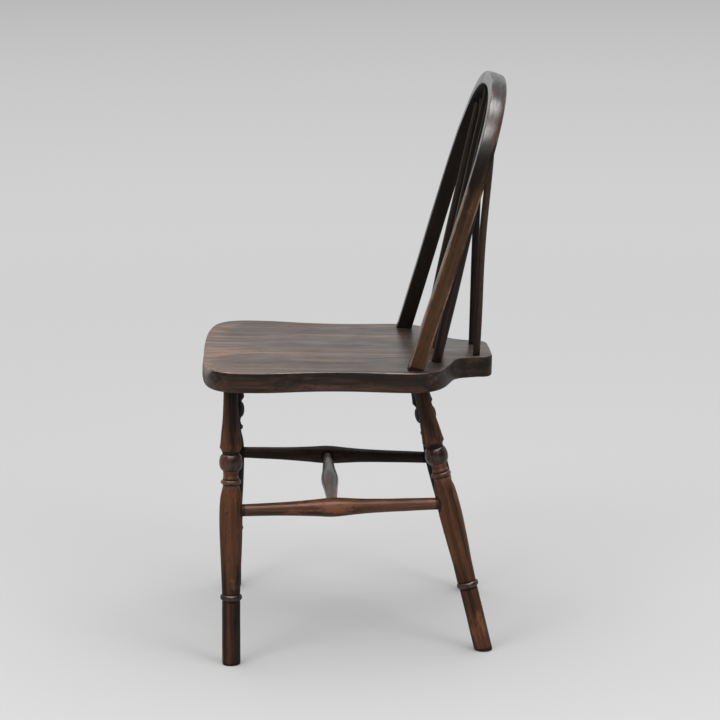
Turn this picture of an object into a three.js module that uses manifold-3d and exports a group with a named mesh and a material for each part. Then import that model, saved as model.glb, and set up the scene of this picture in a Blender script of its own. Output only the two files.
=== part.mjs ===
// A hoop-back stick chair in dark stained wood: a shaped plank seat on four turned legs,
// an H of turned stretchers, a steam-bent hoop, five back sticks, and two brace sticks that
// run from a tail on the seat to the hoop. Millimetres, +Z up, the sitter faces -Y, and
// lengths named Back run from the front edge of the seat.

import * as THREE from 'three';
import { mergeVertices } from 'three/addons/utils/BufferGeometryUtils.js';
import { ParametricGeometry } from 'three/addons/geometries/ParametricGeometry.js';
import Module from 'manifold-3d';

const wasm = await Module();
wasm.setup();

// Driving dimensions of the seat plank
const seatFrontHeight = 430;
const seatSlope = 0.028;
const seatThickness = 27.6;
const seatFrontHalfWidth = 207;
const seatFrontWingBack = 67;
const seatWaistHalfWidth = 188.5;
const seatWaistBack = 212.5;
const seatRearHalfWidth = 194;
const seatRearWingBack = 294.5;
const seatShoulderBack = 366.5;
const tailNeckHalfWidth = 74;
const tailNeckBack = 386.5;
const tailHalfWidth = 64;
const tailBack = 428;
const tailCornerRadius = 22;
const seatFrontBow = 6;
const seatFrontFlatShare = 0.62;
const seatWingEase = 55;
const seatWaistEase = 75;
const seatRearEase = 34;
const seatShoulderEase = 52;
const seatShoulderSweep = 45;
const seatShoulderRise = 14;
const tailNeckEase = 26;
const tailNeckHollow = 3;
const seatTopEdgeRadius = 4;
const seatBottomEdgeRadius = 3;
const dishDepth = 6;
const dishMargin = 34;
const dishBack = 150;
const dishSteepness = 1.6;

// Driving dimensions of the legs
const frontFootX = 199;
const frontFootBack = 36.5;
const frontLegTopX = 165.4;
const frontLegTopBack = 43.5;
const rearFootX = 155.3;
const rearFootBack = 404.5;
const rearLegTopX = 129.1;
const rearLegTopBack = 315.5;
const footRadius = 13.5;
const footChamfer = 2.5;
const collarHeight = 97.5;
const collarHalfThickness = 5.4;
const collarRadius = 16.5;
const vaseHeight = 208;
const vaseRadius = 17.1;
const vaseFullLength = 32;
const vaseFullDrop = 1.2;
const ringHeight = 266.3;
const ringHalfThickness = 3.2;
const ringRadius = 15;
const grooveRadius = 12;
const coveHeight = 277;
const coveRadius = 10.9;
const ballHeight = 295;
const ballHalfHeight = 11.5;
const ballRadius = 17;
const neckRadius = 12.3;
const shoulderHeight = 316.5;
const shoulderRadius = 16.3;
const shoulderFall = 2.3;
const shoulderLength = 22;
const legTopSwell = 1.4;
const legTopRadius = 10.8;
const legTenonLength = 15;

// Driving dimensions of the stretchers
const stretcherHeightFront = 223.5;
const stretcherHeightRear = 218.7;
const stretcherEndRadius = 8.5;
const stretcherWaistRadius = 9.6;
const sideSwellRadius = 13.4;
const sideSwellHalfLength = 66;
const crossEndRadius = 6.8;
const crossSwellRadius = 13.1;
const crossStretcherShare = 0.465;
const crossWaistSwell = 1.4;
const crossSwellShare = 0.33;
const stretcherTenonStop = 3;
const stretcherShoulder = 14;
const swellFlankShare = 0.55;

// Driving dimensions of the hoop
const hoopFootHalfWidth = 164.3;
const hoopFootBack = 307.3;
const hoopLean = 0.309;
const hoopHeight = 418;
const hoopLowPullHalfWidth = 155.8;
const hoopLowPullHeight = 174;
const hoopShoulderPull = 280.7;
const hoopWidth = 21;
const hoopDepth = 22.5;
const hoopEdgeRadius = 3.5;
const hoopTenonRadius = 8.5;
const wedgeThickness = 3.2;
const wedgeTipThickness = 1.2;
const wedgeLength = 17;

// Driving dimensions of the back sticks and the two braces
const stickCount = 5;
const stickFootHalfSpan = 103;
const stickFootBack = 340.5;
const stickFootBow = 8;
const stickTopHalfSpan = 134;
const stickFootRadius = 7.2;
const stickSwellRadius = 8.2;
const stickTopRadius = 5.2;
const stickTenonLength = 15;
const stickSwellShare = 0.32;
const stickTaperShare = 0.72;
const leftBraceFootX = 48;
const rightBraceFootX = 35;
const braceFootBack = 403.5;
const leftBraceTopX = 154;
const rightBraceTopX = 121;
const braceFootRadius = 5.2;
const braceSwellRadius = 5.5;
const braceTopRadius = 4.8;
const leftBraceBow = 3.5;
const rightBraceBow = 1.6;

// Clearances between pieces that fit into one another
const fitGap = 0.3;

// Fineness of the turned and bent surfaces
const legSides = 14;
const stretcherSides = 12;
const stickSides = 10;
const hoopSteps = 44;
const outlineSteps = 64;
const edgeSteps = 3;
const undersideShares = [0, 0.55];
const topShares = [0.9, 0.78, 0.64, 0.48, 0.3, 0.14, 0];

const turnedWood = new THREE.MeshStandardMaterial({ color: 0x3a2a22, roughness: 0.5, metalness: 0 });
const seatWood = new THREE.MeshStandardMaterial({ color: 0x4d3f37, roughness: 0.42, metalness: 0 });
const bentWood = new THREE.MeshStandardMaterial({ color: 0x33251d, roughness: 0.42, metalness: 0 });
const wedgeWood = new THREE.MeshStandardMaterial({ color: 0x54402f, roughness: 0.6, metalness: 0 });

// Solids and cuts

function solid(geometry) {
  const bare = geometry.clone();
  bare.deleteAttribute('normal');
  bare.deleteAttribute('uv');
  const welded = mergeVertices(bare, 1e-4);
  const corners = [];
  for (let i = 0; i < welded.index.count; i += 3) {
    const [a, b, c] = [0, 1, 2].map((k) => welded.index.getX(i + k));
    if (a !== b && b !== c && c !== a) corners.push(a, b, c);
  }
  return new wasm.Manifold(new wasm.Mesh({
    numProp: 3,
    vertProperties: new Float32Array(welded.attributes.position.array),
    triVerts: new Uint32Array(corners),
  }));
}

function geometryOf(body) {
  const mesh = body.getMesh();
  const geometry = new THREE.BufferGeometry();
  geometry.setAttribute('position', new THREE.BufferAttribute(mesh.vertProperties, 3));
  geometry.setIndex(new THREE.BufferAttribute(mesh.triVerts, 1));
  geometry.computeVertexNormals();
  return geometry;
}

// A cutter is a geometry with the matrix that places it in the chair.
function cutter(geometry, matrix) {
  return { geometry, matrix: matrix.clone() };
}

function cutFrom(mesh, cutters) {
  const home = mesh.matrix.clone().invert();
  let body = solid(mesh.geometry);
  for (const { geometry, matrix } of cutters) {
    const placed = geometry.clone().applyMatrix4(home.clone().multiply(matrix));
    body = body.subtract(solid(placed));
  }
  mesh.geometry = geometryOf(body);
}

// Turned work

const lengthwise = new THREE.Vector3(0, 1, 0);

function placeAlong(mesh, from, to) {
  mesh.position.copy(from);
  mesh.quaternion.setFromUnitVectors(lengthwise, to.clone().sub(from).normalize());
  mesh.updateMatrix();
  return mesh;
}

function turned(profile, sides) {
  return new THREE.LatheGeometry(profile, sides);
}

function rod(radius, start, end, sides) {
  return turned([
    new THREE.Vector2(0, start),
    new THREE.Vector2(radius, start),
    new THREE.Vector2(radius, end),
    new THREE.Vector2(0, end),
  ], sides);
}

// The hole for a rod of the same number of sides, with the fit gap on every side.
function socket(radius, start, end, sides) {
  return rod(radius + fitGap / Math.cos(Math.PI / sides), start, end, sides);
}

// Points of a rounded bead along a turning, from its lower edge to its upper one.
function bead(height, halfHeight, coreRadius, peakRadius, steps) {
  const points = [];
  for (let i = 0; i <= steps; i++) {
    const turn = (Math.PI * i) / steps;
    const radius = coreRadius + (peakRadius - coreRadius) * Math.sin(turn);
    points.push(new THREE.Vector2(radius, height - halfHeight * Math.cos(turn)));
  }
  return points;
}

// A fair curve through points that are given as a radius and a place along the turning.
function smooth(points, steps) {
  const through = points.map(([radius, at]) => new THREE.Vector2(radius, at));
  return new THREE.SplineCurve(through).getPoints(steps);
}

// Seat plank: its plan as a closed outline, x to the sitter's left and y to the back

function seatOutline() {
  const half = new THREE.Path();
  half.moveTo(0, 0);
  half.bezierCurveTo(
    seatFrontHalfWidth * seatFrontFlatShare, 0,
    seatFrontHalfWidth, seatFrontBow,
    seatFrontHalfWidth, seatFrontWingBack,
  );
  half.bezierCurveTo(
    seatFrontHalfWidth, seatFrontWingBack + seatWingEase,
    seatWaistHalfWidth, seatWaistBack - seatWaistEase,
    seatWaistHalfWidth, seatWaistBack,
  );
  half.bezierCurveTo(
    seatWaistHalfWidth, seatWaistBack + seatRearEase,
    seatRearHalfWidth, seatRearWingBack - seatRearEase,
    seatRearHalfWidth, seatRearWingBack,
  );
  half.bezierCurveTo(
    seatRearHalfWidth, seatRearWingBack + seatShoulderEase,
    seatRearHalfWidth - seatShoulderSweep, seatShoulderBack - seatShoulderRise,
    tailNeckHalfWidth + tailNeckEase, seatShoulderBack,
  );
  half.quadraticCurveTo(
    tailNeckHalfWidth + tailNeckHollow, seatShoulderBack + 2 * tailNeckHollow,
    tailNeckHalfWidth - tailNeckHollow, tailNeckBack + tailNeckHollow,
  );
  half.lineTo(tailHalfWidth, tailBack - tailCornerRadius);
  half.quadraticCurveTo(tailHalfWidth, tailBack, tailHalfWidth - tailCornerRadius, tailBack);
  half.lineTo(0, tailBack);
  const side = half.getSpacedPoints(outlineSteps / 2);
  const other = side.slice(1, -1).reverse().map((p) => new THREE.Vector2(-p.x, p.y));
  return [...side, ...other];
}

// Stations through the plank's section: how far inside the outline and at what depth.
function seatSection() {
  const stations = [];
  const quarter = edgeSteps;
  undersideShares.forEach((share) => stations.push({ share, z: -seatThickness }));
  for (let i = 0; i <= quarter; i++) {
    const turn = (Math.PI / 2) * (i / quarter);
    stations.push({
      inset: seatBottomEdgeRadius * (1 - Math.sin(turn)),
      z: -seatThickness + seatBottomEdgeRadius * (1 - Math.cos(turn)),
    });
  }
  for (let i = 0; i <= quarter; i++) {
    const turn = (Math.PI / 2) * (i / quarter);
    stations.push({
      inset: seatTopEdgeRadius * (1 - Math.cos(turn)),
      z: -seatTopEdgeRadius * (1 - Math.sin(turn)),
    });
  }
  topShares.forEach((share) => stations.push({ share, z: 0, dished: true }));
  return stations;
}

// Depth of the shallow hollow that is worked into the top of the seat.
function dishAt(x, y) {
  const halfWide = seatWaistHalfWidth - dishMargin;
  const halfDeep = dishBack - dishMargin / 2;
  const away = Math.hypot(x / halfWide, (y - dishBack) / halfDeep);
  const within = Math.max(0, 1 - away * away);
  return dishDepth * Math.min(1, dishSteepness * within * within);
}

function seatGeometry() {
  const outline = seatOutline();
  const stations = seatSection();
  const centre = new THREE.Vector2(0, dishBack + dishMargin);
  const count = outline.length;
  const inward = outline.map((p, i) => {
    const along = outline[(i + 1) % count].clone().sub(outline[(i + count - 1) % count]).normalize();
    return new THREE.Vector2(-along.y, along.x);
  });
  return new ParametricGeometry((u, v, target) => {
    const i = Math.round(u * count) % count;
    const station = stations[Math.round(v * (stations.length - 1))];
    const at = outline[i].clone();
    if (station.share === undefined) {
      at.addScaledVector(inward[i], station.inset);
    } else {
      at.addScaledVector(inward[i], seatTopEdgeRadius);
      at.sub(centre).multiplyScalar(station.share).add(centre);
    }
    const z = station.dished ? station.z - dishAt(at.x, at.y) : station.z;
    target.set(at.x, at.y, z);
  }, count, stations.length - 1);
}

// The seat's own frame: its origin is the middle of its front edge on the top face, and the
// plank falls towards the back by the seat's slope.
const seat = new THREE.Mesh(seatGeometry(), seatWood);
seat.name = 'seat';
seat.position.set(0, 0, seatFrontHeight);
seat.rotation.x = -Math.atan(seatSlope);
seat.updateMatrix();

function onSeat(x, back, depth = 0) {
  return new THREE.Vector3(x, back, -depth).applyMatrix4(seat.matrix);
}

const seatCuts = [];

// Legs

function legProfile(length) {
  const foot = [
    new THREE.Vector2(0, -footRadius),
    new THREE.Vector2(footRadius, -footRadius),
  ];
  const collar = bead(collarHeight, collarHalfThickness, footRadius, collarRadius, 4);
  const vase = smooth([
    [footRadius, collarHeight + 1.5 * collarHalfThickness],
    [(footRadius + vaseRadius) / 2, (collarHeight + vaseHeight) / 2],
    [vaseRadius, vaseHeight],
    [vaseRadius - vaseFullDrop, vaseHeight + vaseFullLength],
    [grooveRadius, ringHeight - 1.5 * ringHalfThickness],
  ], 9);
  const ring = bead(ringHeight, ringHalfThickness, grooveRadius, ringRadius, 4);
  const cove = [
    new THREE.Vector2(grooveRadius, ringHeight + 2 * ringHalfThickness),
    new THREE.Vector2(coveRadius, coveHeight),
  ];
  const ball = bead(ballHeight, ballHalfHeight, neckRadius, ballRadius, 6);
  const top = smooth([
    [shoulderRadius, shoulderHeight],
    [shoulderRadius - shoulderFall, shoulderHeight + shoulderLength],
    [legTopRadius + legTopSwell, (shoulderHeight + length) / 2],
    [legTopRadius + legTopSwell / 4, (shoulderHeight + 4 * length) / 5],
    [legTopRadius, length - footChamfer],
  ], 5);
  const tenon = [
    new THREE.Vector2(legTopRadius, length + legTenonLength),
    new THREE.Vector2(0, length + legTenonLength),
  ];
  return [...foot, ...collar, ...vase, ...ring, ...cove, ...ball, ...top, ...tenon];
}

// The floor and the chamfer round the foot, both level with the floor.
function levelFoot(mesh, foot) {
  const reach = 4 * footRadius;
  const floor = new THREE.BoxGeometry(reach, reach, reach);
  const below = new THREE.Matrix4().makeTranslation(foot.x, foot.y, -reach / 2);
  const under = footChamfer / 2;
  const inner = footRadius - footChamfer - under;
  const outer = footRadius + footChamfer;
  const bevel = turned([
    new THREE.Vector2(inner, -under),
    new THREE.Vector2(outer, -under),
    new THREE.Vector2(outer, outer - inner - under),
    new THREE.Vector2(inner, -under),
  ], 2 * legSides);
  const standing = new THREE.Matrix4().makeRotationX(Math.PI / 2).setPosition(foot.x, foot.y, 0);
  cutFrom(mesh, [cutter(floor, below), cutter(bevel, standing)]);
}

function makeLeg(name, footX, footBack, topX, topBack) {
  const foot = new THREE.Vector3(footX, footBack, 0);
  const top = onSeat(topX, topBack, seatThickness);
  const length = foot.distanceTo(top);
  const leg = new THREE.Mesh(turned(legProfile(length), legSides), turnedWood);
  leg.name = name;
  placeAlong(leg, foot, top);
  levelFoot(leg, foot);
  const hole = socket(legTopRadius, length - 2 * legTopRadius, length + legTenonLength + fitGap, legSides);
  seatCuts.push(cutter(hole, leg.matrix));
  return leg;
}

const legs = {
  front_left: makeLeg('leg_front_left', frontFootX, frontFootBack, frontLegTopX, frontLegTopBack),
  front_right: makeLeg('leg_front_right', -frontFootX, frontFootBack, -frontLegTopX, frontLegTopBack),
  rear_left: makeLeg('leg_rear_left', rearFootX, rearFootBack, rearLegTopX, rearLegTopBack),
  rear_right: makeLeg('leg_rear_right', -rearFootX, rearFootBack, -rearLegTopX, rearLegTopBack),
};

// The point on a leg's axis at a height above the floor.
function onLeg(leg, height) {
  const axis = lengthwise.clone().applyQuaternion(leg.quaternion);
  return leg.position.clone().addScaledVector(axis, height / axis.z);
}

// Stretchers

// A stretcher between two axes, slender at both ends and swollen at one place.
function stretcherProfile(length, swellAt, swellHalfLength, endRadius, waistRadius, swellRadius) {
  const start = stretcherTenonStop;
  const end = length - stretcherTenonStop;
  const low = swellAt - swellHalfLength;
  const high = swellAt + swellHalfLength;
  const flankRadius = (waistRadius + swellRadius) / 2;
  const body = smooth([
    [endRadius, start + stretcherShoulder],
    [waistRadius, low],
    [flankRadius, low + swellHalfLength * swellFlankShare],
    [swellRadius, swellAt],
    [flankRadius, high - swellHalfLength * swellFlankShare],
    [waistRadius, high],
    [endRadius, end - stretcherShoulder],
  ], 14);
  return [
    new THREE.Vector2(0, start),
    new THREE.Vector2(endRadius, start),
    ...body,
    new THREE.Vector2(endRadius, end),
    new THREE.Vector2(0, end),
  ];
}

// The two holes that take a stretcher's ends.
function stretcherSockets(length, endRadius) {
  const deep = stretcherTenonStop - fitGap;
  const out = 2 * vaseRadius;
  return [
    socket(endRadius, deep, out, stretcherSides),
    socket(endRadius, length - out, length - deep, stretcherSides),
  ];
}

function makeSideStretcher(name, frontLeg, rearLeg) {
  const from = onLeg(frontLeg, stretcherHeightFront);
  const to = onLeg(rearLeg, stretcherHeightRear);
  const length = from.distanceTo(to);
  const profile = stretcherProfile(length, length * crossStretcherShare, sideSwellHalfLength,
    stretcherEndRadius, stretcherWaistRadius, sideSwellRadius);
  const stretcher = new THREE.Mesh(turned(profile, stretcherSides), turnedWood);
  stretcher.name = name;
  placeAlong(stretcher, from, to);
  const [front, rear] = stretcherSockets(length, stretcherEndRadius);
  cutFrom(frontLeg, [cutter(front, stretcher.matrix)]);
  cutFrom(rearLeg, [cutter(rear, stretcher.matrix)]);
  return stretcher;
}

const leftStretcher = makeSideStretcher('side_stretcher_left', legs.front_left, legs.rear_left);
const rightStretcher = makeSideStretcher('side_stretcher_right', legs.front_right, legs.rear_right);

// The thickest place of the side stretcher between two legs.
function swellPoint(frontLeg, rearLeg) {
  const from = onLeg(frontLeg, stretcherHeightFront);
  const to = onLeg(rearLeg, stretcherHeightRear);
  return from.lerp(to, crossStretcherShare);
}

function makeCrossStretcher() {
  const from = swellPoint(legs.front_right, legs.rear_right);
  const to = swellPoint(legs.front_left, legs.rear_left);
  const length = from.distanceTo(to);
  const profile = stretcherProfile(length, length / 2, length * crossSwellShare,
    crossEndRadius, crossEndRadius + crossWaistSwell, crossSwellRadius);
  const stretcher = new THREE.Mesh(turned(profile, stretcherSides), turnedWood);
  stretcher.name = 'cross_stretcher';
  placeAlong(stretcher, from, to);
  const [right, left] = stretcherSockets(length, crossEndRadius);
  cutFrom(rightStretcher, [cutter(right, stretcher.matrix)]);
  cutFrom(leftStretcher, [cutter(left, stretcher.matrix)]);
  return stretcher;
}

const crossStretcher = makeCrossStretcher();

// Hoop: a planar bend in its own frame, x across, y up along its lean, z out of its front

function hoopHalf(side) {
  return [
    new THREE.Vector3(side * hoopFootHalfWidth, 0, 0),
    new THREE.Vector3(side * hoopLowPullHalfWidth, hoopLowPullHeight, 0),
    new THREE.Vector3(side * hoopShoulderPull, hoopHeight, 0),
    new THREE.Vector3(0, hoopHeight, 0),
  ];
}

const armDirection = new THREE.Vector3(
  hoopLowPullHalfWidth - hoopFootHalfWidth, hoopLowPullHeight, 0,
).normalize();

function hoopCurve() {
  const right = hoopHalf(-1);
  const left = hoopHalf(1).reverse();
  const below = seatThickness;
  const path = new THREE.CurvePath();
  const rightArm = armDirection.clone().setX(-armDirection.x);
  path.add(new THREE.LineCurve3(right[0].clone().addScaledVector(rightArm, -below), right[0]));
  path.add(new THREE.CubicBezierCurve3(...right));
  path.add(new THREE.CubicBezierCurve3(...left));
  path.add(new THREE.LineCurve3(left[3], left[3].clone().addScaledVector(armDirection, -below)));
  return path;
}

function hoopSectionShape() {
  const x = hoopDepth / 2 - hoopEdgeRadius;
  const y = hoopWidth / 2 - hoopEdgeRadius;
  const shape = new THREE.Shape();
  shape.absarc(x, y, hoopEdgeRadius, 0, Math.PI / 2, false);
  shape.absarc(-x, y, hoopEdgeRadius, Math.PI / 2, Math.PI, false);
  shape.absarc(-x, -y, hoopEdgeRadius, Math.PI, 1.5 * Math.PI, false);
  shape.absarc(x, -y, hoopEdgeRadius, 1.5 * Math.PI, 2 * Math.PI, false);
  shape.closePath();
  return shape;
}

const hoop = new THREE.Mesh(new THREE.ExtrudeGeometry(hoopSectionShape(), {
  steps: hoopSteps, curveSegments: 2, extrudePath: hoopCurve(), bevelEnabled: false,
}), bentWood);
hoop.name = 'hoop';
hoop.position.copy(onSeat(0, hoopFootBack));
hoop.rotation.x = Math.PI / 2 - hoopLean;
hoop.updateMatrix();

// The block that stands for everything below a level measured from the seat's top face.
function belowLevel(level) {
  const size = 3 * hoopHeight;
  const block = new THREE.BoxGeometry(size, size, size);
  const drop = new THREE.Matrix4().makeTranslation(0, 0, level - size / 2);
  return cutter(block, seat.matrix.clone().multiply(drop));
}

// The round tenon on each foot of the hoop passes through the seat and is wedged from below.
function hoopTenon(side) {
  const foot = hoopHalf(side)[0].clone().applyMatrix4(hoop.matrix);
  const arm = new THREE.Vector3(side * armDirection.x, armDirection.y, 0).transformDirection(hoop.matrix);
  const peg = new THREE.Object3D();
  placeAlong(peg, foot, foot.clone().add(arm));
  return peg.matrix;
}

function wedgePrism(extra) {
  const tip = wedgeTipThickness / 2 + extra;
  const butt = wedgeThickness / 2 + extra;
  const shape = new THREE.Shape([
    new THREE.Vector2(-butt, -2 * seatThickness),
    new THREE.Vector2(butt, -2 * seatThickness),
    new THREE.Vector2(butt, -seatThickness),
    new THREE.Vector2(tip, wedgeLength - seatThickness + extra),
    new THREE.Vector2(-tip, wedgeLength - seatThickness + extra),
    new THREE.Vector2(-butt, -seatThickness),
  ]);
  const wide = 4 * hoopTenonRadius;
  return new THREE.ExtrudeGeometry(shape, { depth: wide, bevelEnabled: false }).translate(0, 0, -wide / 2);
}

function placedSolid(geometry, matrix) {
  return solid(geometry.clone().applyMatrix4(matrix));
}

function underSeat() {
  const { geometry, matrix } = belowLevel(-seatThickness);
  return placedSolid(geometry, matrix);
}

function makeWedge(name, side) {
  const place = hoopTenon(side);
  const peg = placedSolid(rod(hoopTenonRadius, -2 * seatThickness, 0, stickSides), place);
  const slip = placedSolid(wedgePrism(0), place);
  const wedge = new THREE.Mesh(geometryOf(peg.intersect(slip).subtract(underSeat())), wedgeWood);
  wedge.name = name;
  return wedge;
}

function seatTenons() {
  cutFrom(hoop, [belowLevel(fitGap)]);
  const home = hoop.matrix.clone().invert();
  let body = solid(hoop.geometry);
  for (const side of [1, -1]) {
    const place = hoopTenon(side);
    const peg = placedSolid(rod(hoopTenonRadius, -2 * seatThickness, hoopWidth / 2, stickSides), place);
    const kerf = placedSolid(wedgePrism(fitGap), place);
    const tenon = peg.subtract(kerf).subtract(underSeat());
    body = body.add(tenon.transform(home.toArray()));
    const hole = socket(hoopTenonRadius, -2 * seatThickness, hoopWidth, stickSides);
    seatCuts.push(cutter(hole, place));
  }
  hoop.geometry = geometryOf(body);
}

seatTenons();
const wedges = [makeWedge('hoop_wedge_left', 1), makeWedge('hoop_wedge_right', -1)];

// Where the hoop's centreline, above its widest place, is a given distance from the middle.
function hoopTopAt(x) {
  const curve = new THREE.CubicBezierCurve3(...hoopHalf(Math.sign(x) || 1));
  let low = 0.5;
  let high = 1;
  for (let i = 0; i < 40; i++) {
    const middle = (low + high) / 2;
    if (Math.abs(curve.getPoint(middle).x) > Math.abs(x)) low = middle;
    else high = middle;
  }
  return curve.getPoint(high).applyMatrix4(hoop.matrix);
}

// Back sticks and braces

function stickProfile(length, footRadius, swellRadius, topRadius) {
  const body = smooth([
    [footRadius, fitGap],
    [swellRadius, length * stickSwellShare],
    [(swellRadius + topRadius) / 2, length * stickTaperShare],
    [topRadius, length - hoopWidth],
  ], 8);
  return [
    new THREE.Vector2(0, -stickTenonLength),
    new THREE.Vector2(footRadius, -stickTenonLength),
    ...body,
    new THREE.Vector2(topRadius, length - fitGap),
    new THREE.Vector2(0, length - fitGap),
  ];
}

// A gentle forward bow of a stick between its two ends, which stay where they are.
function bow(geometry, length, rise, sideways) {
  const position = geometry.attributes.position;
  for (let i = 0; i < position.count; i++) {
    const along = THREE.MathUtils.clamp(position.getY(i) / (length - hoopWidth), 0, 1);
    const shift = rise * Math.sin(Math.PI * along) ** 2;
    position.setX(i, position.getX(i) + sideways.x * shift);
    position.setZ(i, position.getZ(i) + sideways.z * shift);
  }
  return geometry;
}

function makeStick(name, foot, top, radii, rise = 0) {
  const length = foot.distanceTo(top);
  const stick = new THREE.Mesh(turned(stickProfile(length, ...radii), stickSides), turnedWood);
  stick.name = name;
  placeAlong(stick, foot, top);
  const forward = new THREE.Vector3(0, -1, 0).applyQuaternion(stick.quaternion.clone().invert());
  bow(stick.geometry, length, rise, forward);
  const [footRadius, , topRadius] = radii;
  const below = socket(footRadius, -stickTenonLength - fitGap, 2 * footRadius, stickSides);
  const above = socket(topRadius, length - hoopWidth, length, stickSides);
  seatCuts.push(cutter(below, stick.matrix));
  cutFrom(hoop, [cutter(above, stick.matrix)]);
  return stick;
}

const stickRadii = [stickFootRadius, stickSwellRadius, stickTopRadius];
const braceRadii = [braceFootRadius, braceSwellRadius, braceTopRadius];

const sticks = [];
for (let i = 0; i < stickCount; i++) {
  const across = 1 - (2 * i) / (stickCount - 1);
  const back = stickFootBack + stickFootBow * (1 - across * across);
  const foot = onSeat(across * stickFootHalfSpan, back);
  const top = hoopTopAt(across * stickTopHalfSpan);
  sticks.push(makeStick(`back_stick_${i + 1}`, foot, top, stickRadii));
}

function makeBrace(name, footX, topX, rise) {
  return makeStick(name, onSeat(footX, braceFootBack), hoopTopAt(topX), braceRadii, rise);
}

const braces = [
  makeBrace('brace_stick_left', leftBraceFootX, leftBraceTopX, leftBraceBow),
  makeBrace('brace_stick_right', -rightBraceFootX, -rightBraceTopX, rightBraceBow),
];

cutFrom(seat, seatCuts);

// The chair, standing on the floor and centred over the origin

const chair = new THREE.Group();
chair.add(seat, hoop, ...wedges, ...sticks, ...braces, ...Object.values(legs));
chair.add(leftStretcher, rightStretcher, crossStretcher);
const extent = new THREE.Box3().setFromObject(chair, true);
chair.position.set(0, -(extent.min.y + extent.max.y) / 2, 0);

export default chair;
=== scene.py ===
# %% [markdown]
# A hoop-back stick chair in dark stained and waxed wood, worn by long use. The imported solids
# fix where every piece goes, and how large it is. This lesson models each piece again with a
# fine surface, over the same axes and outlines, and then gives it its finish. The front of the
# chair looks towards -Y, and everything is in metres.

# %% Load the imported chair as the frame
from math import atan, cos, pi, radians, sin

import bmesh
import bpy
from mathutils import Matrix, Vector, noise
from mathutils.geometry import interpolate_bezier
from mathutils.kdtree import KDTree


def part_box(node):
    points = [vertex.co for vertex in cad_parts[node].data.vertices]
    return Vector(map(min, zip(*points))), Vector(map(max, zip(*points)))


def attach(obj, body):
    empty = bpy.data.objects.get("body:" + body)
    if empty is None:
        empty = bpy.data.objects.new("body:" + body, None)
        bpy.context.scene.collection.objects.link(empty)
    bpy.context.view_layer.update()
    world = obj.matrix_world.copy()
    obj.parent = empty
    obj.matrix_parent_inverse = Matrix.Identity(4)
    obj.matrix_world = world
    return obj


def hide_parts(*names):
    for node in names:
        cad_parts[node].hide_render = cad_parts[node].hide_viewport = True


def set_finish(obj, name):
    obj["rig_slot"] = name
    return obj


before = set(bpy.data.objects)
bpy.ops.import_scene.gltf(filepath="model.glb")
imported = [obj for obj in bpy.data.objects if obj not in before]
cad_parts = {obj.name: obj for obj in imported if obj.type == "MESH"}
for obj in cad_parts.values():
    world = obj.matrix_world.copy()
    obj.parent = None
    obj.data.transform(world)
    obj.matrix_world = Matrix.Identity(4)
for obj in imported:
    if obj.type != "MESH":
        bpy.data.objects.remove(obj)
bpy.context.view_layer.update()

MM = 0.001

# %% [markdown]
# The photograph was taken from the sitter's left, a little above the seat, with a long lens.
# A camera in Blender is placed by a matrix whose columns are its right, its up and its
# backward direction. Building the matrix from a pitch, a yaw and a roll keeps the three angles
# readable, and a real camera has no others.

# %% Place the camera
CAMERA_PLACE = Vector((3.6648, -0.1075, 1.1458))
CAMERA_PITCH = 0.1994
CAMERA_YAW = 0.032
CAMERA_ROLL = -0.009
FOCAL_PIXELS = 2503.3
PHOTO_SIDE = 720
SENSOR = 36.0


def camera_matrix():
    forward = Vector((
        -cos(CAMERA_PITCH) * cos(CAMERA_YAW),
        cos(CAMERA_PITCH) * sin(CAMERA_YAW),
        -sin(CAMERA_PITCH),
    ))
    right = forward.cross(Vector((0, 0, 1))).normalized()
    up = right.cross(forward)
    turned_right = right * cos(CAMERA_ROLL) + up * sin(CAMERA_ROLL)
    turned_up = up * cos(CAMERA_ROLL) - right * sin(CAMERA_ROLL)
    turn = Matrix((turned_right, turned_up, -forward)).transposed().to_4x4()
    return Matrix.Translation(CAMERA_PLACE) @ turn


camera_data = bpy.data.cameras.new("photo_camera")
camera_data.sensor_width = SENSOR
camera_data.lens = FOCAL_PIXELS * SENSOR / PHOTO_SIDE
camera = bpy.data.objects.new("photo_camera", camera_data)
camera.matrix_world = camera_matrix()
bpy.context.scene.collection.objects.link(camera)
bpy.context.scene.camera = camera
print("lens:", round(camera_data.lens, 1), "mm")

# %% [markdown]
# The wood's fibres run along every stick and leg and round the bend of the hoop. If the
# pattern were laid in the room's own directions, it would cut across the slanting pieces. So
# each piece carries three attributes on its points: "grain" is where a point lies in the
# piece's own wood, with the fibres along the third number, "bend" is how sharply the surface
# bends there, positive on crests and negative in grooves, and lower still at joints and near the
# floor, for dirt and painted contact shade, the wear attribute is how far hands, clothes and
# feet have thinned the stain, and it also holds painted shade, as darker stain on the far side of
# the chair, near the tops of the legs and inside the hoop, and "wax" is how thick and shiny the
# polish is. The materials read these four.

# %% Measure how sharply a surface bends
BEND_UNIT = 250.0


def bend_at(vert):
    """The curvature at a point, 1 being a crest with a radius of 4 mm."""
    total = 0.0
    for edge in vert.link_edges:
        reach = vert.co - edge.other_vert(vert).co
        total += 2 * vert.normal.dot(reach) / max(reach.length_squared, 1e-9)
    return total / max(len(vert.link_edges), 1) / BEND_UNIT


def wobble(place, wavelength, height):
    """A gentle unevenness left by hand tools and long use."""
    return noise.noise(place / wavelength) * height


# %% [markdown]
# Dirt and old wax gather where one piece enters another, and contact shade is painted
# there as well. Each joint is noted as a point on the surface, the direction of the piece that
# enters, and its radius. Points of any piece close to a joint, or close to the floor, are then
# treated like the bottom of a groove.

# %% Note the joints
JOINT_REACH = 0.005
joints = []


def note_joint(point, direction, radius, reach=JOINT_REACH):
    joints.append((point.copy(), direction.normalized(), radius, reach))


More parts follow.
